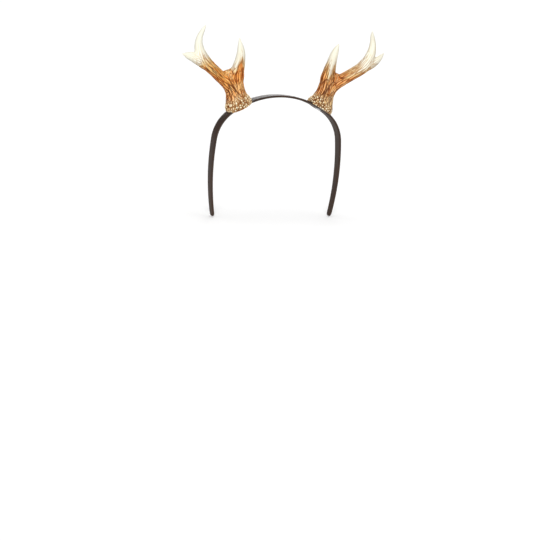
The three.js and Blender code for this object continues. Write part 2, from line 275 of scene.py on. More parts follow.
class Branch:
    """A curved, tapered branch: samples of its centre, directions and half sizes along its length."""

    def __init__(self, rows):
        rows = np.array(rows, float)
        ends = np.vstack([2 * rows[0] - rows[1], rows, 2 * rows[-1] - rows[-2]])
        fine = []
        for i in range(len(rows) - 1):
            p0, p1, p2, p3 = ends[i:i + 4]
            count = max(4, int(np.linalg.norm((p2 - p1)[:3]) / BRANCH_STEP))
            t = np.linspace(0, 1, count, endpoint=False)[:, None]
            fine.append(0.5 * (2 * p1 + (p2 - p0) * t + (2 * p0 - 5 * p1 + 4 * p2 - p3) * t ** 2
                               + (3 * p1 - p0 - 3 * p2 + p3) * t ** 3))
        fine = np.vstack(fine + [rows[-1:]])
        self.centre = fine[:, :3] * np.array([1, -1, 1])
        self.half_width = np.maximum(fine[:, 3], THINNEST) / 2
        self.half_depth = np.maximum(fine[:, 4], THINNEST) / 2
        along = np.gradient(self.centre, axis=0)
        self.along = along / np.linalg.norm(along, axis=1)[:, None]
        front = np.array([0, -1.0, 0]) + self.along * self.along[:, 1:2]
        self.front = front / np.linalg.norm(front, axis=1)[:, None]
        self.side = np.cross(self.along, self.front)
        self.distance = np.r_[0, np.cumsum(np.linalg.norm(np.diff(self.centre, axis=0), axis=1))]
        # Columns 0 to 2, 3 to 5, 6 to 8 and 9 to 11 are vectors, and 12 to 15 are numbers
        self.table = np.column_stack([self.centre, self.along, self.front, self.side, self.half_width,
                                      self.half_depth, self.distance, np.gradient(self.distance)])

    def nearest(self, points):
        """Signed distance to the skin, and how far along the samples the nearest place is. Both are only
        right within REACH of the skin, and points further off are called FAR."""
        best = np.full(len(points), FAR, np.float32)
        where = np.zeros(len(points), np.float32)
        for start in range(0, len(self.centre) - 1, BRANCH_GROUP):
            stop = min(start + BRANCH_GROUP, len(self.centre) - 1)
            group = slice(start, stop + 1)
            room = max(self.half_width[group].max(), self.half_depth[group].max()) + REACH
            low, high = self.centre[group].min(0) - room, self.centre[group].max(0) + room
            near = np.flatnonzero(((points > low) & (points < high)).all(1))
            if not len(near):
                continue
            some, some_best, some_where = points[near].astype(np.float32), best[near], where[near]
            for i in range(start, stop):
                run = (self.centre[i + 1] - self.centre[i]).astype(np.float32)
                offset = some - self.centre[i].astype(np.float32)
                t = np.clip(offset @ (run / np.float32(run @ run)), 0, 1)
                offset -= t[:, None] * run
                squeeze = np.float32((self.half_width[i] / self.half_depth[i]) ** 2 - 1)
                across = offset @ self.front[i].astype(np.float32)
                length = np.sqrt(np.einsum("ij,ij->i", offset, offset) + squeeze * across ** 2)
                growth = np.float32(self.half_width[i + 1] - self.half_width[i])
                d = length - np.float32(self.half_width[i]) - growth * t
                closer = d < some_best
                some_best[closer] = d[closer]
                some_where[closer] = (i + t)[closer]
            best[near], where[near] = some_best, some_where
        return best.astype(float), where

    def settle_on(self, points):
        """As nearest, but smooth along the branch. Gives the distance, flow coordinates (two across the
        branch and one along it) and half width."""
        d, where = self.nearest(points)
        flow, half = np.zeros((len(points), 3)), np.ones(len(points))
        near = np.flatnonzero(d < FAR)
        points, where = points[near], where[near].astype(float)
        last = len(self.centre) - 1

        def at(place):
            i = np.minimum(place.astype(int), last - 1)
            f = (place - i)[:, None]
            return self.table[i] * (1 - f) + self.table[i + 1] * f

        for _ in range(3):
            row = at(where)
            rest = ((points - row[:, 0:3]) * row[:, 3:6]).sum(1)
            where = np.clip(where + rest / row[:, 15], 0, last)
        row = at(where)
        offset = points - row[:, 0:3]
        rest, through, across = [(offset * row[:, k:k + 3]).sum(1) for k in (3, 6, 9)]
        wide, deep = row[:, 12], row[:, 13]
        d[near] = np.sqrt(across ** 2 + (through * wide / deep) ** 2 + rest ** 2) - wide
        flow[near, 0] = across / wide * NOMINAL_RADIUS
        flow[near, 1] = through / deep * NOMINAL_RADIUS
        flow[near, 2] = row[:, 14] + rest
        half[near] = wide
        return d, flow, half


def join(a, b, k):
    """The smaller of two distances, rounded where they meet over a width of about k."""
    h = np.maximum(k - np.abs(a - b), 0) / k
    return np.minimum(a, b) - h * h * k / 4


def seat_coordinates(points):
    """Height along the leaning axis of the foot, and the two coordinates across it."""
    return points @ SEAT_AXIS, points @ SEAT_SIDE, -points[:, 1]


class Antler:
    """One antler, measured from the middle of its foot, as the right one stands."""

    def __init__(self, side):
        rows = (BEAM, BROW_TINE + [BROW_TIP[side]], BACK_TINE[side], FORK_WEB)
        self.branches = [Branch(r) for r in rows]

    def channel(self, points):
        """Distance to the band's bar and the pin, which the foot leaves room for."""
        height, across, through = seat_coordinates(points)
        from_crown = np.hypot(points[:, 0] + SEAT_OUT, points[:, 2] + SEAT_UP + BAND_ARCS[0][0])
        from_bar = np.abs(from_crown - CROWN + BAND_THICKNESS / 2) - BAND_THICKNESS / 2
        band = np.maximum(from_bar, np.abs(points[:, 1]) - CROWN_WIDTH / 2)
        pin = np.maximum(np.hypot(across, through) - PIN_RADIUS, height - PIN_DEPTH)
        return np.minimum(band, pin)

    def field(self, points, smooth=True):
        """Signed distance to the antler's skin, in millimetres, negative inside."""
        beam, brow, back, web = [(b.settle_on if smooth else b.nearest)(points)[0] for b in self.branches]
        d = join(join(beam, back, BACK_FILLET), join(brow, web, WEB_FILLET), FORK_FILLET)
        height, across, through = seat_coordinates(points)
        table = np.array(BURR)
        flare = (np.hypot(across, through) - np.interp(height, table[:, 0], table[:, 1])) * BURR_SLOPE
        d = join(d, np.maximum(flare, height - table[-1, 0]), BURR_FILLET)
        d = np.maximum(d, -FOOT_DEPTH - height)
        return np.maximum(d, GAP - self.channel(points))

    def rough_field(self, points):
        """As field, quicker and less smooth along the branches."""
        return self.field(points, smooth=False)


def surface(field, low, high, voxel):
    """A closed quad mesh of the field's zero surface, one point for each cell that the surface crosses."""
    block, margin = 4, 1.25
    counts = np.ceil((high - low) / (voxel * block)).astype(int) + 1
    grid = [np.arange(n) for n in counts]
    coarse = np.stack(np.meshgrid(*grid, indexing="ij"), -1).reshape(-1, 3)
    middle = low + (coarse + 0.5) * voxel * block
    rough = field(middle)
    near = np.abs(rough) < voxel * block * margin
    shape = counts * block
    values = np.repeat(np.repeat(np.repeat(rough.reshape(counts), block, 0), block, 1), block, 2)
    inner = np.stack(np.meshgrid(*[np.arange(block)] * 3, indexing="ij"), -1).reshape(-1, 3)
    nodes = (coarse[near][:, None] * block + inner[None]).reshape(-1, 3)
    values[tuple(nodes.T)] = field(low + nodes * voxel)
    # A cell face that is inside at two opposite corners alone would pinch the mesh, so it is filled
    just_inside = -voxel * 1e-3
    for axes in ((0, 1), (1, 2), (0, 2)):
        sheet = np.moveaxis(values, axes, (0, 1))
        solid = sheet < 0
        opposite = (solid[:-1, :-1] == solid[1:, 1:]) & (solid[:-1, 1:] == solid[1:, :-1])
        for i, j, k in np.argwhere(opposite & (solid[:-1, :-1] != solid[:-1, 1:])):
            sheet[i:i + 2, j:j + 2, k] = np.minimum(sheet[i:i + 2, j:j + 2, k], just_inside)
    inside = values < 0
    corners = list(np.ndindex(2, 2, 2))
    size = shape - 1
    filled = sum(inside[a:size[0] + a, b:size[1] + b, c:size[2] + c].astype(np.int8) for a, b, c in corners)
    cells = np.argwhere((filled > 0) & (filled < 8))
    total, hits = np.zeros((len(cells), 3)), np.zeros(len(cells))
    for a in corners:
        for axis in range(3):
            if a[axis]:
                continue
            b = tuple(v + (i == axis) for i, v in enumerate(a))
            va, vb = values[tuple((cells + a).T)], values[tuple((cells + b).T)]
            cut = (va < 0) != (vb < 0)
            t = np.where(cut, va / np.where(cut, va - vb, 1), 0)
            total += np.where(cut[:, None], np.array(a) + t[:, None] * (np.array(b) - np.array(a)), 0)
            hits += cut
    points = low + (cells + total / hits[:, None]) * voxel
    index = np.full(shape, -1, np.int32)
    index[tuple(cells.T)] = np.arange(len(cells))
    faces = []
    for axis in range(3):
        step = np.eye(3, dtype=int)
        u, v = step[(axis + 1) % 3], step[(axis + 2) % 3]
        first, second = [slice(None)] * 3, [slice(None)] * 3
        first[axis], second[axis] = slice(0, -1), slice(1, None)
        a, b = inside[tuple(first)], inside[tuple(second)]
        for into, order in ((a & ~b, (0, 1, 2, 3)), (~a & b, (0, 3, 2, 1))):
            edge = np.argwhere(into)
            ring = [index[tuple((edge - shift).T)] for shift in (u + v, v, 0 * u, u)]
            faces.append(np.stack([ring[i] for i in order], 1))
    return points, np.vstack(faces)


def settle(field, points):
    """Moves points onto the field's zero surface, and gives the directions that it faces there."""
    step, flattest = 0.1, 0.3
    rise = [field(points + step * axis) - field(points - step * axis) for axis in np.eye(3)]
    slope = np.stack(rise, 1) / (2 * step)
    size = np.maximum(np.linalg.norm(slope, axis=1), flattest)
    return points - slope * (field(points) / size ** 2)[:, None], slope / size[:, None]


def cells(points, scale, radial, seed):
    """A random cell pattern on points that were multiplied by scale: the distance along the skin to the
    nearest border of the cell, as it was before the scaling, the scaled distance from the cell's middle, and
    a number drawn for the cell. The skin faces radial."""
    base = np.floor(points).astype(np.int64)
    centres, drawn = [], []
    for step in np.ndindex(3, 3, 3):
        i, j, k = (base + np.array(step) - 1).T
        centres.append(np.stack([n + lattice(i, j, k, seed + m) for m, n in enumerate((i, j, k))], 1))
        drawn.append(lattice(i, j, k, seed + 3))
    centres, drawn = np.array(centres), np.array(drawn)
    d = ((centres - points) ** 2).sum(2)
    own = d.argmin(0)
    every = np.arange(len(points))
    centre, nearest = centres[own, every], d[own, every]
    border = np.full(len(points), FAR)
    for other, d_other in zip(centres, d):
        slope = (other - centre) * scale
        slope[:, :2] -= (slope[:, :2] * radial).sum(1)[:, None] * radial
        steepness = np.linalg.norm(slope, axis=1)
        closer = np.minimum(border, (d_other - nearest) / (2 * steepness + 1e-9))
        border = np.where(d_other > nearest, closer, border)
    return border, np.sqrt(nearest), drawn[own, every]


def near_root(along, fade):
    """How much of the extra ridge ends near a branch's root is left at a place along it."""
    return np.exp(-np.maximum(along, LOWEST) / fade)


def grain(flow, seed, across, ends, extra, fade, sway, shallow, groove, rounding=0.0):
    """Long ridges parted by grooves: ridge height from 0 to 1, groove darkness, and a number for a ridge."""
    root = near_root(flow[:, 2], fade)
    along = ends * flow[:, 2] + extra * fade * (1 - root)
    broad, fine = SWAY_WEIGHTS
    waves = [broad * noise(flow * SWAY_BROAD, seed + m) + fine * noise(flow * SWAY_FINE, seed + m + 2)
             for m in (SWAY_SEED, SWAY_SEED + 1)]
    scale = np.column_stack([np.full((len(flow), 2), across), ends + extra * root])
    radial = flow[:, :2] / np.maximum(np.linalg.norm(flow[:, :2], axis=1), 1e-6)[:, None]
    across_along = np.column_stack([(flow[:, :2] + sway * np.stack(waves, 1)) * across, along])
    border, from_middle, drawn = cells(across_along, scale, radial, seed)
    patches = smoothstep(*DEPTH_RANGE, noise(flow * DEPTH_PATCHES, seed + DEPTH_SEED))
    depth = shallow + (1 - shallow) * patches
    worn = rounding * smoothstep(*PEARL_WORN, from_middle)
    lift = 1 - depth * np.maximum(np.clip(1 - border / RIDGE_EDGE, 0, 1) ** 2, worn)
    return lift, depth * np.maximum(1 - smoothstep(*groove, border), worn), drawn


def on_sides(flow):
    """1 on the two sides of a branch and 0 on its front and back."""
    from_front = np.abs(np.degrees(np.arctan2(flow[:, 0], flow[:, 1])))
    return smoothstep(*SIDE_GROWS, from_front) * (1 - smoothstep(*SIDE_FADES, from_front))


def turned_to_ivory(flow, side, number, seed):
    """How far amber has turned to ivory on a branch: 0 and 1 are the ends of the turn."""
    middle, half_turn, inner, reach, tongue_at, tongue_width = IVORY_TURNS[side][number]
    aside = np.degrees(np.arctan2(-flow[:, 0], flow[:, 1])) - tongue_at
    aside = (aside + 180) % 360 - 180
    lean = inner * -flow[:, 0] / NOMINAL_RADIUS + reach * np.exp(-(aside / tongue_width) ** 2)
    ragged = TURN_RAGGED * noise(flow * TURN_EDGE, seed + TURN_SEED + number)
    turned = np.clip(0.5 + (flow[:, 2] - lean + ragged - middle) / (2 * half_turn), *TURN_RANGE)
    # Painted shading: the beam's sides stay amber longer, darker towards its outline
    return turned - SIDE_AMBER_SHADING[side] * on_sides(flow) * (number == ON_BEAM)


def stain_and_painted_shade(points, side, share, flow, brow_flow):
    """How much darker the amber is at each point: stained at some heights, on the web and on the brow tine,
    and darkened on the sides of the branches as painted shading.
    """
    stain_and_shade = np.interp(points[:, 2], *np.array(STAIN[side], float).T)
    # Painted shading darkens the two sides of each branch towards its outline; the web is stained all over.
    stain_and_shade = stain_and_shade + PAINTED_SIDE_SHADE[side] * on_sides(flow) + WEB_STAIN * share[ON_WEB]
    return stain_and_shade + FLAME_STAIN[side] * share[ON_BROW] * smoothstep(*FLAME_FROM, brow_flow[:, 2])


def furrow(points, side, seam, height):
    """The furrow below the fork: its darkness from 0 to 1, and how far it moves the skin."""
    offset, slant, wide = FURROW[side]
    seam = seam - offset - slant * np.maximum(FURROW_SLANTS_BELOW - points[:, 2], 0)
    low_down = smoothstep(*FURROW_FROM, height) * (1 - smoothstep(*FURROW_UNTIL, points[:, 2]))
    fold = np.exp(-(seam / wide) ** 2) * low_down
    lip = np.exp(-((seam + LIP_OFF) / LIP_WIDTH) ** 2) * low_down
    return fold, LIP_HEIGHT * lip - FURROW_DEPTH * fold


def relief(antler, points, side, seed):
    """How far the skin stands out at each point, and what the material needs to know there."""
    gaps, flows, halves = zip(*[branch.settle_on(points) for branch in antler.branches])
    gaps = np.array(gaps)
    gaps[ON_WEB] += WEB_YIELDS
    flows[ON_WEB][:] = points * np.array([1, -1, 1]) - WEB_MIDDLE  # on the web the grain runs upwards
    gaps[ON_BACK] += BACK_YIELDS * (1 - smoothstep(*BACK_ROOT, flows[ON_BACK][:, 2]))
    share = np.exp(-(gaps - gaps.min(0)) / MEETING)
    share /= share.sum(0)
    height, across, through = seat_coordinates(points)
    radius = np.maximum(np.hypot(across, through), 1e-6)
    burr_flow = np.stack([across / radius * PEARL_RADIUS, through / radius * PEARL_RADIUS, height], 1)
    ragged_height = height + BURR_RAGGED * noise(burr_flow * BURR_EDGE, seed + BURR_SEED)
    burr = 1 - smoothstep(*BURR_FADES[side], ragged_height + BURR_LEAN[side] * across / radius)

    ivory, groove, out, ridge, orange, crest = np.zeros((6, len(points)))
    for number, (flow, half) in enumerate(zip(flows, halves)):
        use = share[number] > BRANCH_TRACE
        flow, half, part = flow[use], half[use], share[number][use]
        on_web = number == ON_WEB
        turned = turned_to_ivory(flow, side, number, seed)
        lift, dark, drawn = grain(flow, seed + BRANCH_SEED * number, **RIDGES[side])
        swell = noise(flow * SWELLS, seed + SWELL_SEED + number)
        size = smoothstep(*SLENDER, half) * (1 - IVORY_CALM * np.clip(turned, 0, 1))
        ridge_height = RIDGE_HEIGHT * (WEB_RIDGES if on_web else 1.0)
        ivory[use] += part * turned
        groove[use] += part * dark * (WEB_GROOVES if on_web else 1.0)
        ridge[use] += part * drawn
        crest[use] += part * lift
        out[use] += part * size * (SWELL_HEIGHT * swell + ridge_height * (lift - RIDGE_SUNK))
        if not on_web:
            unturned = 1 - smoothstep(*ORANGE_ENDS, turned)
            orange[use] += part * smoothstep(*ORANGE_FROM, flow[:, 2]) * unturned * ORANGE[side]
    use = burr > BURR_TRACE
    lift, dark, drawn = grain(burr_flow[use], seed + PEARL_SEED, **PEARLS)
    pearl = PEARL_HEIGHT * (lift - PEARL_SUNK) + PEARL_VARIES * (drawn - 0.5) * lift
    part = burr[use]
    for fact, on_burr in ((groove, dark), (ridge, drawn), (crest, lift), (out, pearl)):
        fact[use] = fact[use] * (1 - part) + part * on_burr
    out *= smoothstep(-FOOT_DEPTH, -FOOT_DEPTH + FOOT_EDGE, height)
    out *= smoothstep(0.0, CHANNEL_EDGE, antler.channel(points) - GAP)
    fold, moved = furrow(points, side, gaps[ON_BEAM] - gaps[ON_BROW], height)
    fold = fold * (1 - burr)
    out += moved * (1 - burr)

    strongest = np.argmax(share, axis=0)
    flow = np.choose(strongest[:, None], flows)
    stain_and_shade = stain_and_painted_shade(points, side, share, flow, flows[ON_BROW])
    extra, fade = RIDGES[side]["extra"], RIDGES[side]["fade"]
    flow[:, 2] += FLOW_STRETCH * extra * fade * (1 - near_root(flow[:, 2], fade)) + FLOW_APART * strongest
    groove = np.maximum(groove, fold)
    return out, {"flow": flow, "ivory": ivory, "groove": groove, "burr": burr * BURR_CREAM[side],
                 "ridge": ridge, "crest": crest, "orange": orange, "stain_and_shade": stain_and_shade}


def add_attributes(obj, values):
    """Stores a value or a vector for each point of a mesh."""
    for name, value in values.items():
        kind, field_name = ("FLOAT_VECTOR", "vector") if value.ndim == 2 else ("FLOAT", "value")
        layer = obj.data.attributes.new(name, kind, "POINT")
        layer.data.foreach_set(field_name, np.ascontiguousarray(value, np.float32).ravel())


def build_antler(side, seed):
    """The skin of one antler, with its relief and the values that its paint needs."""
    antler = Antler(side)
    points, faces = surface(antler.rough_field, ANTLER_LOW, ANTLER_HIGH, VOXEL)
    points, facing = settle(antler.field, points)
    out, facts = relief(antler, points, side, seed)
    points = points + facing * out[:, None]
    a, b, c, d = faces.T
    level = out + GROOVE_WEIGHT * facts["groove"]
    split = np.abs(level[a] - level[c]) < np.abs(level[b] - level[d])  # cut each quad along the grain
    faces = np.vstack([np.where(split[:, None], np.stack([a, b, c], 1), np.stack([a, b, d], 1)),
                       np.where(split[:, None], np.stack([a, c, d], 1), np.stack([b, c, d], 1))])
    obj = add_mesh(f"antler_{side}_skin", place(points, side), faces if side == "right" else faces[:, ::-1])
    add_attributes(obj, facts)
    return obj


def place(points, side):
    """From an antler's own coordinates to those of the whole part, still in millimetres."""
    moved = points + np.array([SEAT_OUT, 0, SEAT_UP])
    return moved * np.array([1 if side == "right" else -1, 1, 1])


class Nodes:
    """Adds shader nodes to a material and links them up."""

    def __init__(self, name):
        self.material = bpy.data.materials.new(name)
        self.material.use_nodes = True
        self.tree = self.material.node_tree
        self.shader = self.tree.nodes["Principled BSDF"]

    def link(self, source, target):
        self.tree.links.new(source, target)

    def add(self, kind, **settings):
        node = self.tree.nodes.new(kind)
        for key, value in settings.items():
            setattr(node, key, value)
        return node

    def feed(self, socket, value):
        if isinstance(value, bpy.types.NodeSocket):
            self.link(value, socket)
        else:
            socket.default_value = value

    def attribute(self, name, output="Fac"):
        return self.add("ShaderNodeAttribute", attribute_name=name).outputs[output]

    def scaled(self, vector, scale):
        node = self.add("ShaderNodeVectorMath", operation="MULTIPLY")
        self.feed(node.inputs[0], vector)
        node.inputs[1].default_value = scale
        return node.outputs[0]

    def noise(self, vector, scale, detail, roughness):
        node = self.add("ShaderNodeTexNoise")
        self.feed(node.inputs["Vector"], vector)
        node.inputs["Scale"].default_value = scale
        node.inputs["Detail"].default_value = detail
        node.inputs["Roughness"].default_value = roughness
        return node.outputs["Fac"]

    def ramp(self, value, stops):
        """A colour ramp. Its stops are positions with colours, or with single numbers for greys."""
        node = self.add("ShaderNodeValToRGB")
        ramp = node.color_ramp
        while len(ramp.elements) < len(stops):
            ramp.elements.new(0.5)
        for element, (position, colour) in zip(ramp.elements, stops):
            element.position = position
            element.color = (*colour, 1) if isinstance(colour, tuple) else (colour, colour, colour, 1)
        self.feed(node.inputs["Fac"], value)
        return node.outputs["Color"]

    def mix(self, factor, a, b):
        node = self.add("ShaderNodeMix", data_type="RGBA")
        self.feed(node.inputs["Factor"], factor)
        self.feed(node.inputs["A"], (*a, 1) if isinstance(a, tuple) else a)
        self.feed(node.inputs["B"], (*b, 1) if isinstance(b, tuple) else b)
        return node.outputs["Result"]

    def math(self, operation, a, b=0.0, clamp=False):
        node = self.add("ShaderNodeMath", operation=operation, use_clamp=clamp)
        self.feed(node.inputs[0], a)
        self.feed(node.inputs[1], b)
        return node.outputs[0]

    def plus(self, a, b, clamp=False):
        return self.math("ADD", a, b, clamp)

    def minus(self, a, b, clamp=False):
        return self.math("SUBTRACT", a, b, clamp)

    def times(self, a, b, clamp=False):
        return self.math("MULTIPLY", a, b, clamp)

    def off_middle(self, value, weight):
        """How far a value from 0 to 1 is above one half, times a weight."""
        return self.times(self.minus(value, 0.5), weight)

    def less(self, value, weight):
        """1, less a value times a weight."""
        return self.minus(1.0, self.times(value, weight))

    def bump(self, height, strength, distance):
        node = self.add("ShaderNodeBump")
        node.inputs["Strength"].default_value = strength
        node.inputs["Distance"].default_value = distance
        self.feed(node.inputs["Height"], height)
        self.link(node.outputs["Normal"], self.shader.inputs["Normal"])


def linear(red, green, blue):
    """A colour given as screen values from 0 to 255."""
    shares = (red / 255, green / 255, blue / 255)
    return tuple(c / 12.92 if c <= 0.04045 else ((c + 0.055) / 1.055) ** 2.4 for c in shares)


# Patterns of the horn's paint: how finely they vary (twice across the grain, once along), detail, roughness
HORN_PATTERNS = {
    "broad": ((0.25, 0.25, 0.03), 3.0, 0.5),
    "streak": ((0.8, 0.8, 0.06), 4.0, 0.62),
    "fine": ((2.2, 2.2, 0.16), 3.0, 0.6),
    "pale_lines": ((0.5, 0.5, 0.035), 3.0, 0.6),
    "dark_lines": ((0.75, 0.75, 0.05), 3.0, 0.6),
    "dashes": ((0.9, 0.9, 0.12), 2.0, 0.5),
    "veins": ((0.6, 0.6, 0.045), 2.0, 0.5),
    "threads": ((0.62, 0.62, 0.04), 3.0, 0.6),
}
# Paints: amber and the deeper orange by tone, pale horn by how far it has turned to ivory, the grooves' wash
# and its strength from root to tip, and the pearls' cream
AMBER = [
    (0.26, linear(170, 80, 26)),
    (0.38, linear(240, 134, 54)),
    (0.52, linear(253, 180, 102)),
    (0.66, linear(255, 226, 172)),
]
DEEP_AMBER = [
    (0.25, linear(138, 56, 8)),
    (0.36, linear(232, 112, 22)),
    (0.48, linear(255, 176, 82)),
    (0.60, linear(255, 222, 150)),
]
PALE_HORN = [
    (0.05, linear(224, 172, 100)),
    (0.35, linear(242, 214, 158)),
    (0.75, linear(247, 232, 194)),
    (1.00, linear(250, 248, 231)),
]
WASH = [
    (0.0, linear(90, 40, 10)),
    (0.12, linear(152, 84, 26)),
    (0.3, linear(170, 114, 52)),
    (0.6, linear(214, 188, 132)),
    (1.0, linear(230, 222, 196)),
]
WASH_STRENGTH = [(0.0, 0.95), (0.3, 0.75), (0.6, 0.40), (1.0, 0.30)]
CREAM = [
    (0.38, linear(208, 142, 76)),
    (0.58, linear(254, 212, 146)),
    (0.76, linear(255, 247, 216)),
]
# Marks on them: where each shows in its pattern and how strongly, with its colour, and its colour on orange
PALE_LINES, PALE_LINE = [(0.56, 0), (0.66, 0.8)], linear(255, 214, 158)
CRESTS, CREST, DEEP_CREST = [(0.70, 0), (1.0, 0.55)], linear(255, 198, 126), linear(255, 184, 102)
DASHES, DASH, DEEP_DASH = [(0.58, 0), (0.64, 0.6)], linear(255, 216, 162), linear(255, 200, 126)
DARK_DASHES, DARK_DASH = [(0.40, 0.75), (0.44, 0)], linear(120, 60, 20)
DARK_LINES, DARK_LINE, DEEP_LINE = [(0.385, 0.9), (0.435, 0)], linear(112, 58, 20), linear(104, 42, 12)
VEINS, VEIN = [(0.0, 0.6), (0.024, 0)], linear(112, 54, 18)
THREADS, THREAD = [(0.455, 0.8), (0.50, 0)], linear(166, 104, 40)
PALE_DASH = linear(146, 90, 38)
TURN_TO_PALE = [(0.02, 0), (0.22, 1)]
BETWEEN_PEARLS = linear(96, 50, 18)
# Weights of what makes up the amber's tone, the turn to ivory and the pearls' tone
AMBER_TONE = {"broad": 0.3, "streak": 0.7, "ridge": 0.14, "orange": 0.10}
TONE_ORANGE = 0.6  # the tone is paler with less orange than this, and darker with more
TURN_STREAK, TURN_RIDGE = 1.3, 0.4
PEARL_TONE = {"fine": 0.25, "ridge": 0.2, "crest": 0.55}
# On orange: how much of the deeper amber shows, and how much weaker marks are
DEEP_SHARE = 0.9
WEAKER = {"pale_lines": 0.7, "crests": 0.1, "dark_dashes": 0.6, "wash": 0.2}
DASHES_SHIFT, THREADS_SHIFT = 0.05, 0.14  # fewer dark dashes on orange, and fewer threads on ivory
MARKED_UNTIL = 1.5  # how far the turn to ivory has gone where dashes and threads have faded out
THREADS_FADE = 2.0  # threads fade later than dashes, and this many times as fast
PEARL_GAPS = 0.96  # strength of the dark gaps between pearls
IVORY_AT_TIP = 3.0  # the turn to ivory goes on to about here at a tip


def amber_paint(n, pattern, fact):
    """Amber with pale and dark lines along the grain, and the dark dashes' strength."""
    orange = fact["orange"]
    broad, streak = [n.times(pattern[name], AMBER_TONE[name]) for name in ("broad", "streak")]
    tone = n.plus(broad, streak)
    tone = n.plus(tone, n.off_middle(fact["ridge"], AMBER_TONE["ridge"]))
    tone = n.plus(tone, n.times(n.minus(TONE_ORANGE, orange), AMBER_TONE["orange"]))
    # Darker where stained, and where painted shading darkens the sides of the branches.
    tone = n.minus(tone, fact["stain_and_shade"])
    amber = n.mix(n.times(orange, DEEP_SHARE), n.ramp(tone, AMBER), n.ramp(tone, DEEP_AMBER))
    pale_share = n.times(n.ramp(pattern["pale_lines"], PALE_LINES), n.less(orange, WEAKER["pale_lines"]))
    amber = n.mix(pale_share, amber, PALE_LINE)
    crest_share = n.times(n.ramp(fact["crest"], CRESTS), n.less(orange, WEAKER["crests"]))
    amber = n.mix(crest_share, amber, n.mix(orange, CREST, DEEP_CREST))
    amber = n.mix(n.ramp(pattern["dashes"], DASHES), amber, n.mix(orange, DASH, DEEP_DASH))
    dark_dashes = n.ramp(n.plus(pattern["dashes"], n.times(orange, DASHES_SHIFT)), DARK_DASHES)
    dark_dashes = n.times(dark_dashes, n.less(orange, WEAKER["dark_dashes"]))
    amber = n.mix(dark_dashes, amber, DARK_DASH)
    amber = n.mix(n.ramp(pattern["dark_lines"], DARK_LINES), amber, n.mix(orange, DARK_LINE, DEEP_LINE))
    off_vein = n.math("ABSOLUTE", n.minus(pattern["veins"], 0.5))
    return n.mix(n.ramp(off_vein, VEINS), amber, VEIN), dark_dashes


def pale_paint(n, pattern, fact, turn, dark_dashes):
    """Pale horn with brown threads and dashes where it has only begun to turn to ivory."""
    pale = n.ramp(turn, PALE_HORN)
    threads = n.ramp(n.plus(pattern["threads"], n.times(turn, THREADS_SHIFT)), THREADS)
    unturned = n.minus(MARKED_UNTIL, fact["ivory"], clamp=True)
    pale = n.mix(n.times(threads, n.times(unturned, THREADS_FADE, clamp=True)), pale, THREAD)
    return n.mix(n.times(dark_dashes, unturned), pale, PALE_DASH)


def pearl_paint(n, pattern, fact):
    """Cream pearls with dark gaps."""
    tone = n.plus(n.times(pattern["fine"], PEARL_TONE["fine"]), n.times(fact["ridge"], PEARL_TONE["ridge"]))
    tone = n.plus(tone, n.times(fact["crest"], PEARL_TONE["crest"]))
    return n.mix(n.times(fact["groove"], PEARL_GAPS), n.ramp(tone, CREAM), BETWEEN_PEARLS)


def horn_material():
    """Painted horn: amber below, ivory towards the tips, dark grooves, and cream pearls on the burr."""
    n = Nodes("painted_horn")
    flow = n.attribute("flow", "Vector")
    names = ("ivory", "burr", "groove", "ridge", "orange", "stain_and_shade", "crest")
    fact = {name: n.attribute(name) for name in names}
    pattern = {name: n.noise(n.scaled(flow, scale), 1.0, detail, roughness)
               for name, (scale, detail, roughness) in HORN_PATTERNS.items()}
    turn = n.plus(fact["ivory"], n.off_middle(pattern["streak"], TURN_STREAK))
    turn = n.plus(turn, n.off_middle(fact["ridge"], TURN_RIDGE), clamp=True)
    amber, dark_dashes = amber_paint(n, pattern, fact)
    pale = pale_paint(n, pattern, fact, turn, dark_dashes)
    colour = n.mix(n.ramp(turn, TURN_TO_PALE), amber, pale)
    tip = n.math("DIVIDE", fact["ivory"], IVORY_AT_TIP, clamp=True)
    strength = n.times(n.ramp(tip, WASH_STRENGTH), n.less(fact["orange"], WEAKER["wash"]))
    colour = n.mix(n.times(fact["groove"], strength), colour, n.ramp(tip, WASH))
    colour = n.mix(fact["burr"], colour, pearl_paint(n, pattern, fact))
    n.link(colour, n.shader.inputs["Base Color"])
    n.shader.inputs["Roughness"].default_value = 0.48
    n.shader.inputs["Specular IOR Level"].default_value = 0.12
    n.bump(n.plus(pattern["fine"], n.times(pattern["streak"], 0.6)), strength=0.35, distance=0.0003)
    return n.material


def band_material():
    """Dark brown satin plastic."""
    n = Nodes("moulded_band")
    where = n.add("ShaderNodeTexCoord").outputs["Object"]
    speck = n.noise(where, scale=900.0, detail=2.0, roughness=0.5)
    cloud = n.noise(where, scale=60.0, detail=3.0, roughness=0.5)
    colours = [(0.3, linear(46, 31, 22)), (0.7, linear(62, 43, 31))]
    n.link(n.ramp(cloud, colours), n.shader.inputs["Base Color"])
    n.link(n.ramp(cloud, [(0.3, 0.50), (0.7, 0.60)]), n.shader.inputs["Roughness"])
    n.shader.inputs["Specular IOR Level"].default_value = 0.3
    n.bump(speck, strength=0.12, distance=0.0001)
    return n.material


def pin_material():
    """Plain brushed steel."""
    n = Nodes("pin_steel")
    where = n.add("ShaderNodeTexCoord").outputs["Object"]
    brushed = n.noise(n.scaled(where, (1.0, 8.0, 1.0)), scale=900.0, detail=2.0, roughness=0.5)
    colours = [(0.3, linear(176, 176, 178)), (0.7, linear(205, 205, 207))]
    n.link(n.ramp(brushed, colours), n.shader.inputs["Base Color"])
    n.shader.inputs["Metallic"].default_value = 1.0
    n.link(n.ramp(brushed, [(0.3, 0.28), (0.7, 0.42)]), n.shader.inputs["Roughness"])
    return n.material


def floor_material():
    """Plain and pale, without shine."""
    n = Nodes("pale_floor")
    n.shader.inputs["Base Color"].default_value = (0.94, 0.94, 0.94, 1)
    n.shader.inputs["Roughness"].default_value = 0.9
    n.shader.inputs["Specular IOR Level"].default_value = 0.0
    return n.material


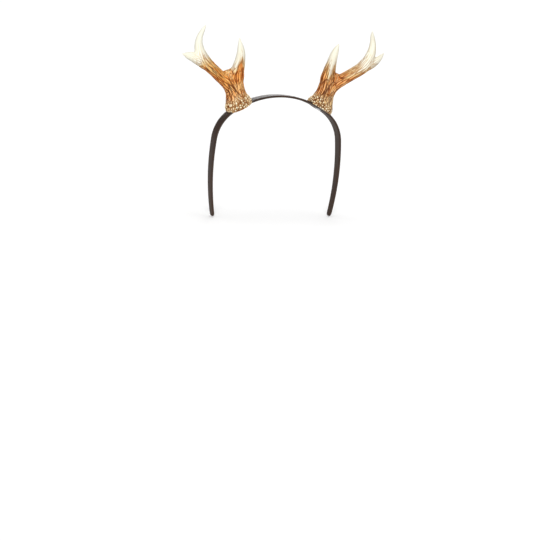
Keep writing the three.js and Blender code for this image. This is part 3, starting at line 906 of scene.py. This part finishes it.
def band_stations():
    """Points along the middle of the band's inner face, with outward directions: x, z, x, z."""
    longest, fewest = 1.2, 8
    half, centre, turned = [], np.array([0.0, -BAND_ARCS[0][0]]), 0.0
    for number, (radius, turn) in enumerate(BAND_ARCS):
        steps = max(fewest, int(radius * math.radians(turn) / longest))
        for i in range(steps + (number == len(BAND_ARCS) - 1)):
            angle = math.radians(turned + turn * i / steps)
            outward = np.array([math.sin(angle), math.cos(angle)])
            half.append((*(centre + radius * outward), *outward))
        turned += turn
        if number + 1 < len(BAND_ARCS):
            end = math.radians(turned)
            centre = centre + (radius - BAND_ARCS[number + 1][0]) * np.array([math.sin(end), math.cos(end)])
    half = np.array(half)
    return np.vstack([half[:0:-1] * np.array([-1, 1, -1, 1]), half])


def build_band():
    """A flat springy bar with rounded edges and rounded ends, narrower towards the ends."""
    stations = band_stations()
    length = np.r_[0, np.cumsum(np.linalg.norm(np.diff(stations[:, :2], axis=0), axis=1))]
    table = np.array(BAND_WIDTHS, float)
    fine_ends, coarse_from = np.r_[0, 0.15, 0.4, 0.8, 1.3, 2.0, 2.8, 3.6, 4.5], 5
    coarse = length[(length > coarse_from) & (length < length[-1] - coarse_from)]
    at = np.unique(np.r_[fine_ends, coarse, length[-1] - fine_ends])
    count, face_power, edge_power = 36, 0.5, 0.35  # points around the bar, and how square its section is
    angles = np.linspace(0, 2 * np.pi, count, endpoint=False)
    rounded = np.sign(np.cos(angles)) * np.abs(np.cos(angles)) ** face_power
    flat = np.sign(np.sin(angles)) * np.abs(np.sin(angles)) ** edge_power
    end_distances, end_thickness = [0, 0.15, 0.4, 1.0], [0.55, 0.75, 0.9, 1.0]
    points = []
    for d in at:
        x, z, ox, oz = [np.interp(d, length, stations[:, k]) for k in range(4)]
        from_end = min(d, length[-1] - d)
        width = np.interp(from_end, table[:, 0], table[:, 1])
        thin = BAND_THICKNESS / 2 * np.interp(from_end, end_distances, end_thickness)
        out = BAND_THICKNESS / 2 + thin * rounded
        points.append(np.stack([x + ox * out, width / 2 * flat, z + oz * out], 1))
    faces = []
    for i in range(len(points) - 1):
        for j in range(count):
            k = (j + 1) % count
            faces.append((i * count + j, (i + 1) * count + j, (i + 1) * count + k, i * count + k))
    last = (len(points) - 1) * count
    caps = [list(range(count)), list(range(last, last + count))[::-1]]
    return add_mesh("band_skin", np.vstack(points), faces + caps)


def build_pin(side):
    """A headed pin, turned about the leaning axis of its seat, with a domed head below the band."""
    under = -BAND_THICKNESS
    head, shank, top = PIN_HEAD_RADIUS, PIN_RADIUS, PIN_DEPTH - GAP
    edge, fillet, clear, taper = 0.12, 0.15, 0.01, 0.6
    cylinder, domed = 0.45, 0.55  # shares of the head's height
    profile = [(head * math.sin(a), under - PIN_HEAD_HEIGHT * (cylinder + domed * math.cos(a)))
               for a in np.radians(np.linspace(0, 90, 10))]
    profile += [(head, under - edge), (head - edge, under - clear), (shank + fillet, under - clear)]
    profile += [(shank, under + edge), (shank, top - taper), (shank - taper, top), (0.0, top)]
    sides = 48
    turn = np.linspace(0, 2 * np.pi, sides, endpoint=False)
    ring = [math.cos(a) * SEAT_SIDE + np.array([0, math.sin(a), 0]) for a in turn]
    points = [profile[0][1] * SEAT_AXIS]
    for radius, height in profile[1:-1]:
        points += [height * SEAT_AXIS + radius * outward for outward in ring]
    points.append(profile[-1][1] * SEAT_AXIS)
    rings, faces = len(profile) - 2, []
    for j in range(sides):
        k = (j + 1) % sides
        faces.append((0, 1 + j, 1 + k))
        faces += [(1 + i * sides + j, 1 + (i + 1) * sides + j, 1 + (i + 1) * sides + k, 1 + i * sides + k)
                  for i in range(rings - 1)]
        faces.append((1 + (rings - 1) * sides + j, len(points) - 1, 1 + (rings - 1) * sides + k))
    if side == "right":
        faces = [f[::-1] for f in faces]
    return add_mesh(f"pin_{side}_skin", place(np.array(points), side), faces)


def sun(name, azimuth, elevation, strength, angle):
    """A soft far light. Azimuth 0 shines from the front, and positive azimuths from the right."""
    data = bpy.data.lights.new(name, "SUN")
    data.energy = strength
    data.angle = math.radians(angle)
    obj = bpy.data.objects.new(name, data)
    az, el = math.radians(azimuth), math.radians(elevation)
    towards = Vector((math.sin(az) * math.cos(el), -math.cos(az) * math.cos(el), math.sin(el)))
    obj.rotation_euler = towards.to_track_quat("Z", "Y").to_euler()
    bpy.context.scene.collection.objects.link(obj)
    return obj


camera()
horn = horn_material()
for number, side in enumerate(("left", "right")):
    skin = build_antler(side, 100 * number)
    skin.data.materials.append(horn)
    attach(skin, "root")
    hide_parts(f"antler_{side}")

band = build_band()
band.data.materials.append(band_material())
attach(band, "root")
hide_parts("headband")

steel = pin_material()
for side in ("left", "right"):
    pin = build_pin(side)
    pin.data.materials.append(steel)
    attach(pin, "root")
    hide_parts(f"pin_{side}")

FLOOR_LEVEL, FLOOR_REACH = -127.2, 9e3  # just below the band's ends, in millimetres
corners = [(-1, -1), (1, -1), (1, 1), (-1, 1)]
corners = [(x * FLOOR_REACH, y * FLOOR_REACH, FLOOR_LEVEL) for x, y in corners]
floor = add_mesh("floor", corners, [(0, 1, 2, 3)], smooth=False)
floor.data.materials.append(floor_material())
floor.visible_diffuse = False

# A white world, two soft suns, and a light that only the floor receives
world = bpy.data.worlds.new("world")
bpy.context.scene.world = world
world.use_nodes = True
background = world.node_tree.nodes["Background"]
background.inputs["Color"].default_value = (1, 1, 1, 1)
background.inputs["Strength"].default_value = 0.32
sun("key", azimuth=-26, elevation=16, strength=2.75, angle=20)
sun("back", azimuth=154, elevation=12, strength=1.8, angle=40)
floor_light = sun("floor_light", azimuth=0, elevation=90, strength=1.4, angle=60)
floor_light.light_linking.receiver_collection = bpy.data.collections.new("floor_only")
floor_light.light_linking.receiver_collection.objects.link(floor)
bpy.context.scene.view_settings.view_transform = "Standard"
